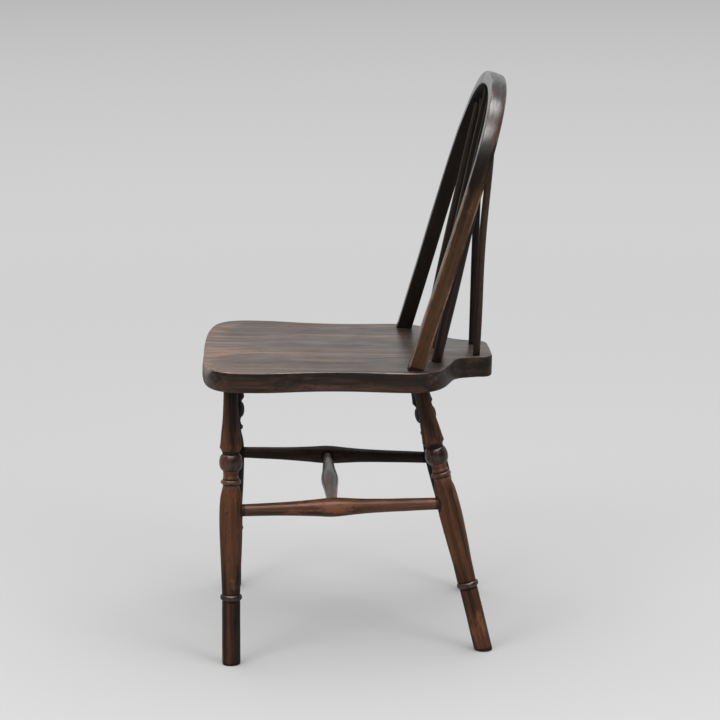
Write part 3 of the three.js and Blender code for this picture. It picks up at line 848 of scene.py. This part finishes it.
# %% Turn the four legs
LEG_SIDES = 44
def saw_level(bm):
    """Cuts the foot level with the floor and takes off its rim."""
    cut = bmesh.ops.bisect_plane(
        bm, geom=bm.verts[:] + bm.edges[:] + bm.faces[:], dist=1e-7,
        plane_co=(0, 0, 0.00005), plane_no=(0, 0, 1), clear_inner=True,
    )
    rim = [e for e in cut["geom_cut"] if isinstance(e, bmesh.types.BMEdge)]
    bmesh.ops.contextual_create(bm, geom=rim)
    bmesh.ops.bevel(
        bm, geom=rim, offset=FOOT_CHAMFER, offset_type="OFFSET", segments=3, profile=0.5,
        affect="EDGES", material=-1,
    )


REAR_LIFT = 0.0032


def leg_wax(height):
    """The rounded turnings have kept their polish; the long shafts are dull."""
    for centre, half in ((BALL_HEIGHT, 0.014), (RING_HEIGHT, 0.009), (COLLAR_HEIGHT, 0.006)):
        if abs(height - centre) < half:
            return 0.6
    return 0.06


def turn_leg(end, side, word):
    foot, top = leg_axis(end, side)
    place = along(foot, top)
    lift = REAR_LIFT if end == "rear" else 0.0
    bm = spin_profile(leg_profile((top - foot).length - lift), LEG_SIDES)
    bmesh.ops.translate(bm, verts=bm.verts[:], vec=(0, 0, lift))
    for vert in bm.verts:
        outward = Vector((vert.co.x, vert.co.y, 0))
        seed = Vector((side, foot.y * 7, 0))
        vert.co -= outward.normalized() * (0.00035 + wobble(vert.co + seed, 0.03, 0.00025))
    bmesh.ops.transform(bm, matrix=place, verts=bm.verts[:])
    saw_level(bm)
    back = place.inverted()
    offset = Vector((0, 0, (5 if end == "front" else 3) + side + foot.y * 5))
    make_piece(
        bm, f"turned_leg_{end}_{word}", f"leg_{end}_{word}", "turned_wood",
        lambda vert: back @ vert.co + offset,
        lambda vert: leg_wear_and_shade(vert.co.z, side),
        lambda vert: leg_wax((back @ vert.co).z - lift) * (1.0 if side > 0 else 0.2),
    )


def leg_wear_and_shade(height, side):
    """Shoes and brooms have rubbed the left legs. The right legs are painted almost black, and the left ones darker
    towards the seat, as painted shade.
    """
    # The far legs are painted almost black, as shade.
    if side < 0:
        return -0.16
    ball = smoothstep(0.016, 0.010, abs(height - BALL_HEIGHT))
    shoe = 0.07 * smoothstep(0.07, 0.04, height)
    # Towards the seat the stain is painted darker, as the shade under the seat.
    return 0.16 + shoe + 0.30 * smoothstep(0.352, 0.29, height) * smoothstep(0.10, 0.17, height) - 0.25 * ball


for end in ("front", "rear"):
    for side, word in ((1, "left"), (-1, "right")):
        turn_leg(end, side, word)

# %% [markdown]
# An H of three stretchers ties the legs together. The side ones are thickest where the cross
# one enters them, a little in front of the middle, and the cross one swells at its own middle.
# They end inside the legs, so the joints look tight from every side.

# %% Turn the three stretchers
STRETCHER_SIDES = 36


def stretcher_profile(length, swell_at, half_swell, end_radius, waist_radius, swell_radius):
    flank = waist_radius + (swell_radius - waist_radius) * 0.5
    run = fair([
        (end_radius, 0.004),
        (end_radius, 0.030),
        (waist_radius, swell_at - half_swell),
        (flank, swell_at - half_swell * 0.45),
        (swell_radius, swell_at),
        (flank, swell_at + half_swell * 0.45),
        (waist_radius, swell_at + half_swell),
        (end_radius, length - 0.030),
        (end_radius, length - 0.004),
    ], 14)
    return [(0, 0.004)] + run + [(0, length - 0.004)]


def turn_stretcher(start, end, name, node, profile, seed, wear_and_shade, wax):
    place = along(start, end)
    bm = spin_profile(profile, STRETCHER_SIDES)
    for vert in bm.verts:
        outward = Vector((vert.co.x, vert.co.y, 0)).normalized()
        vert.co -= outward * (0.0001 + wobble(vert.co + Vector((seed, 0, 0)), 0.03, 0.0002))
    bmesh.ops.transform(bm, matrix=place, verts=bm.verts[:])
    back = place.inverted()
    make_piece(
        bm, name, node, "turned_wood",
        lambda vert: back @ vert.co + Vector((0, 0, seed)),
        lambda vert: wear_and_shade, lambda vert: wax,
    )


for side, word in ((1, "left"), (-1, "right")):
    front, rear = on_leg("front", side, STRETCHER_FRONT), on_leg("rear", side, STRETCHER_REAR)
    long = (rear - front).length
    outline = stretcher_profile(long, long * STRETCHER_SHARE, 0.066, 9.0 * MM, 10.2 * MM, 14.1 * MM)
    # The left stretcher is rubbed by feet; the right one is painted darker, as the shade under the seat, and has less
    # wax.
    turn_stretcher(front, rear, f"long_stretcher_{word}", f"side_stretcher_{word}", outline, 7 + side, 0.22 + 0.24 * side, 0.18 + 0.12 * side)
right_swell, left_swell = swell_point(-1), swell_point(1)
wide = (left_swell - right_swell).length
outline = stretcher_profile(wide, wide / 2, wide * 0.33, 6.8 * MM, 8.2 * MM, 13.1 * MM)
turn_stretcher(right_swell, left_swell, "middle_stretcher", "cross_stretcher", outline, 9, 0.3, 0.65)

# %% [markdown]
# Five back sticks fan out from the seat to the hoop, and two thinner brace sticks run from
# the tail to its shoulders. Each is turned with a slight swell, and the braces have bowed a
# little with age. A stick's top ends inside the hoop.

# %% Turn the sticks and the braces
STICK_SIDES = 28


def stick_profile(length, radii):
    foot, swell, top = radii
    run = fair([
        (foot, -0.010),
        (foot, 0.002),
        (foot * 1.01, 0.014),
        (swell, length * 0.32),
        ((swell + top) / 2, length * 0.72),
        (top, length - 0.021),
        (top, length),
    ], 16)
    return [(0, -0.010)] + run + [(0, length)]


def turn_stick(foot, top, radii, name, node, seed, bow=0.0):
    place = along(foot, top)
    length = (top - foot).length
    back = place.inverted()
    forward = back.to_3x3() @ Vector((0, -1, 0))
    bm = spin_profile(stick_profile(length, radii), STICK_SIDES)
    for vert in bm.verts:
        share = min(max(vert.co.z / (length - 0.021), 0.0), 1.0)
        vert.co += forward * bow * sin(pi * share) ** 2
        vert.co += Vector((noise.noise(vert.co * 9 + Vector((seed, 3, 5))), 0, 0)) * 0.0004
    bmesh.ops.transform(bm, matrix=place, verts=bm.verts[:])
    make_piece(
        bm, name, node, "stick_wood",
        lambda vert: back @ vert.co + Vector((0, 0, seed)),
        lambda vert: 0.12, lambda vert: 0.05,
    )


for i in range(STICK_COUNT):
    turn_stick(*stick_line(i), STICK_RADII, f"fan_stick_{i + 1}", f"back_stick_{i + 1}", 11 + i)
for word, (foot_x, top_x, bow) in (("left", BRACE_LEFT), ("right", BRACE_RIGHT)):
    turn_stick(
        on_seat(foot_x, BRACE_BACK), hoop_top_at(top_x), BRACE_RADII,
        f"tail_brace_{word}", f"brace_stick_{word}", 17 + foot_x * 9, bow,
    )

# %% [markdown]
# The finish is old stain under wax. What it shows depends on scale: broad bands and fine
# streaks along the fibres, dark pores, patches where the stain has been rubbed through to
# brown, pale lines on the crests, and black in the grooves and joints, which is partly dirt
# and partly painted contact shade. Every wood on the chair shows all of these, so they are
# built once as a node group, and each material feeds it its own colours and amounts.

# %% Helpers for node trees
def add(tree, kind, settings=None, inputs=None):
    """Adds a node, sets its options, and fills or links its inputs by name or number."""
    made = tree.nodes.new(kind)
    for key, value in (settings or {}).items():
        setattr(made, key, value)
    for key, value in (inputs or {}).items():
        if isinstance(value, bpy.types.NodeSocket):
            tree.links.new(value, made.inputs[key])
        else:
            made.inputs[key].default_value = value
    return made


def number(tree, operation, *values, clamp=False):
    made = add(tree, "ShaderNodeMath", {"operation": operation, "use_clamp": clamp}, dict(enumerate(values)))
    return made.outputs[0]


def blend(tree, share, first, second, mode="MIX"):
    """Mixes two colours."""
    made = add(tree, "ShaderNodeMix", {"data_type": "RGBA", "blend_type": mode})
    for key, value in ((0, share), (6, first), (7, second)):
        if isinstance(value, bpy.types.NodeSocket):
            tree.links.new(value, made.inputs[key])
        else:
            made.inputs[key].default_value = value
    return made.outputs[2]


def between(tree, value, low, high):
    """A soft step from 0 at low to 1 at high."""
    made = add(tree, "ShaderNodeMapRange", {"interpolation_type": "SMOOTHSTEP"}, {0: value, 1: low, 2: high})
    return made.outputs[0]


def grain_noise(tree, grain, across, lengthwise, detail=3.0, roughness=0.55, distortion=0.0):
    """Noise in the wood's own directions, with its own fineness across and along the fibres."""
    if isinstance(lengthwise, bpy.types.NodeSocket):
        factors = add(tree, "ShaderNodeCombineXYZ", None, {0: across, 1: across, 2: lengthwise}).outputs[0]
    else:
        factors = (across, across, lengthwise)
    stretched = add(tree, "ShaderNodeVectorMath", {"operation": "MULTIPLY"}, {0: grain, 1: factors})
    made = add(tree, "ShaderNodeTexNoise", None, {
        "Vector": stretched.outputs[0], "Scale": 1.0, "Detail": detail,
        "Roughness": roughness, "Distortion": distortion,
    })
    return made.outputs[0]


# %% Build the group for old stained wood
def colour(red, green, blue):
    return (red, green, blue, 1.0)


BLACK = (0.004, 0.003, 0.0025, 1.0)


def stained_wood_group():
    group = bpy.data.node_groups.new("old stained wood", "ShaderNodeTree")
    face = group.interface
    for name, kind, default in (
        ("Grain", "NodeSocketVector", None), ("Bend", "NodeSocketFloat", 0.0),
        ("Wear And Shade", "NodeSocketFloat", 0.3), ("Wax", "NodeSocketFloat", 0.3),
        ("Tone", "NodeSocketFloat", 0.0), ("Patch Length", "NodeSocketFloat", 1.0),
        ("Deep", "NodeSocketColor", colour(0.010, 0.007, 0.006)),
        ("Brown", "NodeSocketColor", colour(0.05, 0.026, 0.015)),
        ("Bare", "NodeSocketColor", colour(0.16, 0.08, 0.045)),
        ("Crest From", "NodeSocketFloat", 0.3), ("Crest To", "NodeSocketFloat", 0.8),
        ("Crest Wear", "NodeSocketFloat", 0.8), ("Groove Grime", "NodeSocketFloat", 0.9),
        ("Smooth", "NodeSocketFloat", 0.3), ("Rough", "NodeSocketFloat", 0.5),
    ):
        socket = face.new_socket(name=name, in_out="INPUT", socket_type=kind)
        if default is not None:
            socket.default_value = default
    for name, kind in (
        ("Color", "NodeSocketColor"), ("Roughness", "NodeSocketFloat"),
        ("Height", "NodeSocketFloat"), ("Polish", "NodeSocketFloat"),
    ):
        face.new_socket(name=name, in_out="OUTPUT", socket_type=kind)

    def times(first, second):
        return number(group, "MULTIPLY", first, second)

    def plus(first, second):
        return number(group, "ADD", first, second)

    given = group.nodes.new("NodeGroupInput").outputs
    grain = given["Grain"]
    figure = grain_noise(group, grain, 34, 1.8, 4, 0.62, 0.15)
    streak = grain_noise(group, grain, 330, 7, 3, 0.65)
    patch = grain_noise(group, grain, 30, number(group, "DIVIDE", 12.0, given["Patch Length"]), 5, 0.68)
    bands = grain_noise(group, grain, 120, 4, 2, 0.6)
    pores = between(group, grain_noise(group, grain, 1300, 42, 1, 0.5), 0.60, 0.68)
    pits = between(group, grain_noise(group, grain, 150, 100, 1, 0.5), 0.69, 0.74)
    dents = grain_noise(group, grain, 130, 90, 2, 0.5)
    lines = plus(times(streak, 0.25), times(bands, 0.4))
    tone = plus(plus(times(figure, 0.85), lines), plus(times(given["Wear And Shade"], 0.5), given["Tone"]))
    stained = blend(group, between(group, tone, 0.70, 1.08), given["Deep"], given["Brown"])
    bare_patch = between(group, plus(plus(patch, times(streak, 0.25)), times(given["Wear And Shade"], 0.3)), 0.76, 0.94)
    worn = blend(group, times(bare_patch, 0.5), stained, given["Bare"])
    crest = times(
        between(group, given["Bend"], given["Crest From"], given["Crest To"]),
        between(group, plus(plus(patch, times(streak, 0.6)), times(given["Wear And Shade"], 0.4)), 0.80, 1.0),
    )
    crest = times(times(crest, given["Crest Wear"]), between(group, given["Wear And Shade"], 0.03, 0.40))
    edged = blend(group, crest, worn, given["Bare"])
    # Grooves, joints and the foot at the floor go black: dirt, and painted contact shade.
    groove = times(between(group, times(given["Bend"], -1.0), 0.05, 0.5), given["Groove Grime"])
    dirtied_and_shaded = blend(group, groove, edged, BLACK)
    pitted = blend(group, times(pits, 0.5), dirtied_and_shaded, BLACK)
    dark_pores = blend(group, times(pores, 0.5), pitted, BLACK)
    cloud = between(group, grain_noise(group, grain, 30, 16, 4, 0.6), 0.3, 0.75)
    sheen = add(group, "ShaderNodeMapRange", None, {0: cloud, 3: given["Smooth"], 4: given["Rough"]}).outputs[0]
    sheen = number(group, "ADD", sheen, times(groove, 0.25), clamp=True)
    polish = times(given["Wax"], add(group, "ShaderNodeMapRange", None, {0: cloud, 3: 1.0, 4: 0.7}).outputs[0])
    scratched = add(group, "ShaderNodeMapRange", None, {0: streak, 1: 0.35, 2: 0.6, 3: 0.65, 4: 1.1}).outputs[0]
    polish = number(group, "MULTIPLY", times(polish, scratched), number(group, "SUBTRACT", 1.0, groove), clamp=True)
    relief = number(group, "SUBTRACT", times(streak, 0.25), plus(times(pores, 0.4), times(pits, 0.8)))
    relief = plus(relief, times(dents, 0.5))
    result = group.nodes.new("NodeGroupOutput")
    for name, value in (("Color", dark_pores), ("Roughness", sheen), ("Height", relief), ("Polish", polish)):
        group.links.new(value, result.inputs[name])
    return group


stained_wood = stained_wood_group()
print("nodes in the stained wood group:", len(stained_wood.nodes))

# %% Make a material from the group
STAIN_SPECULAR = 0.12


def attribute(tree, name, output):
    return add(tree, "ShaderNodeAttribute", {"attribute_name": name}).outputs[output]


def wood_material(name, bump=0.25, wax_roughness=0.25, **amounts):
    material = bpy.data.materials.new(name)
    material.use_nodes = True
    tree = material.node_tree
    shader = tree.nodes["Principled BSDF"]
    inputs = {
        "Grain": attribute(tree, "grain", "Vector"),
        "Bend": attribute(tree, "bend", "Fac"),
        "Wear And Shade": attribute(tree, "wear_and_shade", "Fac"),
        "Wax": attribute(tree, "wax", "Fac"),
    }
    inputs.update({key.replace("_", " "): value for key, value in amounts.items()})
    wood = tree.nodes.new("ShaderNodeGroup")
    wood.name = "wood"
    wood.node_tree = stained_wood
    for key, value in inputs.items():
        if isinstance(value, bpy.types.NodeSocket):
            tree.links.new(value, wood.inputs[key])
        else:
            wood.inputs[key].default_value = value
    relief = add(tree, "ShaderNodeBump", None, {
        "Strength": bump, "Distance": 0.0006, "Height": wood.outputs["Height"],
    })
    tree.links.new(wood.outputs["Color"], shader.inputs["Base Color"])
    tree.links.new(wood.outputs["Roughness"], shader.inputs["Roughness"])
    tree.links.new(relief.outputs[0], shader.inputs["Normal"])
    tree.links.new(wood.outputs["Polish"], shader.inputs["Coat Weight"])
    shader.inputs["Coat Roughness"].default_value = wax_roughness
    shader.inputs["Specular IOR Level"].default_value = STAIN_SPECULAR
    return material


# %% [markdown]
# The seat is rubbed grey brown on top, the bent hoop and the turned legs are redder, and the
# sticks have kept most of their nearly black stain.

# %% Give each kind of piece its wood
SEAT_BANDS = (
    (0.00, 0.52), (0.10, 0.56), (0.17, 0.40), (0.33, 0.38), (0.42, 0.52), (0.53, 0.50), (0.56, 0.72),
    (0.58, 0.40), (0.68, 0.46), (0.78, 0.36), (0.88, 0.54), (1.00, 0.56),
)
BAND_STRENGTH = 0.7


def band_tone(material):
    """Lighter and darker bands along the plank, from its right edge to its left one."""
    tree = material.node_tree
    grain = attribute(tree, "grain", "Vector")
    across = add(tree, "ShaderNodeSeparateXYZ", None, {0: grain}).outputs["X"]
    drift = grain_noise(tree, grain, 9, 3.5, 2, 0.5)
    across = number(tree, "ADD", across, number(tree, "MULTIPLY", drift, 0.05))
    place = add(tree, "ShaderNodeMapRange", None, {0: across, 1: -0.182, 2: 0.232}).outputs[0]
    ramp = tree.nodes.new("ShaderNodeValToRGB")
    ramp.color_ramp.interpolation = "EASE"
    while len(ramp.color_ramp.elements) < len(SEAT_BANDS):
        ramp.color_ramp.elements.new(0.5)
    for element, (position, level) in zip(ramp.color_ramp.elements, SEAT_BANDS):
        element.position = position
    for element, (position, level) in zip(ramp.color_ramp.elements, SEAT_BANDS):
        element.color = colour(level, level, level)
    tree.links.new(place, ramp.inputs[0])
    level = number(tree, "SUBTRACT", ramp.outputs[0], 0.48)
    tree.links.new(number(tree, "MULTIPLY", level, BAND_STRENGTH), tree.nodes["wood"].inputs["Tone"])


seat_wood = wood_material(
    "rubbed seat", wax_roughness=0.31, Patch_Length=4.0, Deep=colour(0.016, 0.011, 0.009), Brown=colour(0.098, 0.054, 0.035),
    Bare=colour(0.36, 0.17, 0.09), Crest_From=0.35, Crest_To=0.9, Smooth=0.42, Rough=0.6,
)
band_tone(seat_wood)
hoop_wood = wood_material(
    "bent hoop wood", bump=0.4, wax_roughness=0.18, Deep=colour(0.010, 0.0065, 0.005), Brown=colour(0.074, 0.034, 0.015),
    Bare=colour(0.22, 0.13, 0.09), Crest_From=0.15, Crest_To=0.6, Crest_Wear=1.8, Smooth=0.4, Rough=0.6,
)
leg_wood = wood_material(
    "turned leg wood", wax_roughness=0.20, Deep=colour(0.009, 0.0055, 0.004), Brown=colour(0.115, 0.046, 0.022),
    Tone=-0.06, Bare=colour(0.27, 0.105, 0.05), Crest_From=0.8, Crest_To=2.0, Groove_Grime=0.7, Smooth=0.5, Rough=0.7,
)
stick_wood = wood_material(
    "dark stick wood", wax_roughness=0.3, Deep=colour(0.007, 0.005, 0.004), Brown=colour(0.060, 0.034, 0.024),
    Bare=colour(0.10, 0.06, 0.042), Crest_From=0.9, Crest_To=1.6, Smooth=0.4, Rough=0.55,
)
wedge_wood = wood_material(
    "wedge end grain", wax_roughness=0.4, Deep=colour(0.03, 0.018, 0.012), Brown=colour(0.10, 0.06, 0.035),
    Bare=colour(0.18, 0.11, 0.07), Crest_From=0.5, Crest_To=1.5, Smooth=0.55, Rough=0.75,
)
finishes = {
    "seat_wood": seat_wood, "bent_wood": hoop_wood, "turned_wood": leg_wood,
    "stick_wood": stick_wood, "wedge_wood": wedge_wood,
}
for piece in [o for o in bpy.context.scene.objects if o.type == "MESH" and "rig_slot" in o]:
    piece.data.materials.clear()
    piece.data.materials.append(finishes[piece["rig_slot"]])
print("materials:", [m.name for m in finishes.values()])

# %% [markdown]
# The chair stands on a pale studio floor that runs out of sight. The sky of the studio is a
# dome that is bright overhead and dim near the floor, and two large soft boxes stand to the
# left and right of the camera, which is why each foot throws two faint shadows. Far from the
# chair the floor turns into a plain backdrop with a colour of its own, so that no horizon
# shows. Reflections see a pale backdrop behind the chair and a darker room in front of it.

# %% Floor
FLOOR_ALBEDO = 0.70
FLOOR_SIDE = 80.0
BACKDROP_NEAR, BACKDROP_FAR = 0.645, 0.490


def build_floor():
    bm = bmesh.new()
    bmesh.ops.create_grid(bm, x_segments=1, y_segments=1, size=FLOOR_SIDE / 2)
    mesh = bpy.data.meshes.new("studio_floor")
    bm.to_mesh(mesh)
    bm.free()
    floor = bpy.data.objects.new("studio_floor", mesh)
    bpy.context.scene.collection.objects.link(floor)
    material = bpy.data.materials.new("pale floor")
    material.use_nodes = True
    tree = material.node_tree
    tree.nodes.clear()
    place = add(tree, "ShaderNodeTexCoord").outputs["Object"]
    distance = add(tree, "ShaderNodeVectorMath", {"operation": "LENGTH"}, {0: place}).outputs["Value"]
    lit = add(tree, "ShaderNodeBsdfDiffuse", None, {"Color": colour(FLOOR_ALBEDO, FLOOR_ALBEDO, FLOOR_ALBEDO)})
    far = add(tree, "ShaderNodeMapRange", None, {
        0: distance, 1: 4.0, 2: 17.0, 3: BACKDROP_NEAR, 4: BACKDROP_FAR,
    })
    backdrop = add(tree, "ShaderNodeEmission", None, {"Strength": far.outputs[0]})
    either = add(tree, "ShaderNodeMixShader", None, {
        0: between(tree, distance, 1.3, 4.5), 1: lit.outputs[0], 2: backdrop.outputs[0],
    })
    output = tree.nodes.new("ShaderNodeOutputMaterial")
    tree.links.new(either.outputs[0], output.inputs[0])
    mesh.materials.append(material)


# %% World and lights
DOME_LOW, DOME_HIGH = 0.10, 1.36
ROOM_DARK, ROOM_PALE = 0.05, 0.78
BOX_ABOVE, BOX_AHEAD = 12.0, 1.5


def step_at(tree, value, middle, half):
    return between(tree, value, middle - half, middle + half)


def build_world():
    world = bpy.data.worlds.new("studio")
    bpy.context.scene.world = world
    world.use_nodes = True
    tree = world.node_tree
    tree.nodes.clear()
    direction = add(tree, "ShaderNodeSeparateXYZ", None, {0: add(tree, "ShaderNodeTexCoord").outputs["Generated"]})
    dome = add(tree, "ShaderNodeMapRange", None, {
        0: between(tree, direction.outputs["Z"], -0.1, 0.9), 3: DOME_LOW, 4: DOME_HIGH,
    })
    room = add(tree, "ShaderNodeMapRange", None, {
        0: between(tree, direction.outputs["X"], -0.2, 0.5), 3: ROOM_PALE, 4: ROOM_DARK,
    })
    ahead = number(tree, "DIVIDE", direction.outputs["X"], direction.outputs["Z"])
    aside = number(tree, "ABSOLUTE", number(tree, "DIVIDE", direction.outputs["Y"], direction.outputs["Z"]))
    glow = room.outputs[0]
    for power, near, far, half_width in ((BOX_ABOVE, -0.4, 0.95, 0.55), (BOX_AHEAD, 1.0, 2.7, 1.25)):
        box = number(tree, "MULTIPLY", step_at(tree, ahead, near, 0.2), step_at(tree, ahead, far, -0.2))
        box = number(tree, "MULTIPLY", box, step_at(tree, aside, half_width, -0.1))
        box = number(tree, "MULTIPLY", box, between(tree, direction.outputs["Z"], 0.0, 0.1))
        glow = number(tree, "ADD", glow, number(tree, "MULTIPLY", box, power))
    path = tree.nodes.new("ShaderNodeLightPath").outputs
    shiny = number(tree, "MAXIMUM", path["Is Glossy Ray"], path["Is Transmission Ray"])
    fill = add(tree, "ShaderNodeBackground", None, {"Strength": dome.outputs[0]})
    shown = add(tree, "ShaderNodeBackground", None, {"Strength": glow})
    pale = add(tree, "ShaderNodeBackground", None, {"Strength": BACKDROP_FAR})
    either = add(tree, "ShaderNodeMixShader", None, {0: shiny, 1: fill.outputs[0], 2: shown.outputs[0]})
    final = add(tree, "ShaderNodeMixShader", None, {0: path["Is Camera Ray"], 1: either.outputs[0], 2: pale.outputs[0]})
    output = tree.nodes.new("ShaderNodeOutputWorld")
    tree.links.new(final.outputs[0], output.inputs[0])


def soft_box(name, place, target, width, height, power):
    data = bpy.data.lights.new(name, "AREA")
    data.shape = "RECTANGLE"
    data.size = width
    data.size_y = height
    data.energy = power
    lamp = bpy.data.objects.new(name, data)
    lamp.location = place
    lamp.rotation_euler = (Vector(target) - Vector(place)).to_track_quat("-Z", "Y").to_euler()
    lamp.visible_glossy = False
    bpy.context.scene.collection.objects.link(lamp)


build_floor()
build_world()
soft_box("left_box", (2.2, -1.9, 1.9), (0, 0, 0.3), 1.3, 1.3, 18)
soft_box("right_box", (2.2, 1.9, 1.9), (0, 0, 0.3), 1.3, 1.3, 18)

# %% [markdown]
# The colours are written for a plain display, so the view transform is Standard. The finish
# must not make the chair larger.

# %% Set the display
bpy.context.scene.view_settings.view_transform = "Standard"
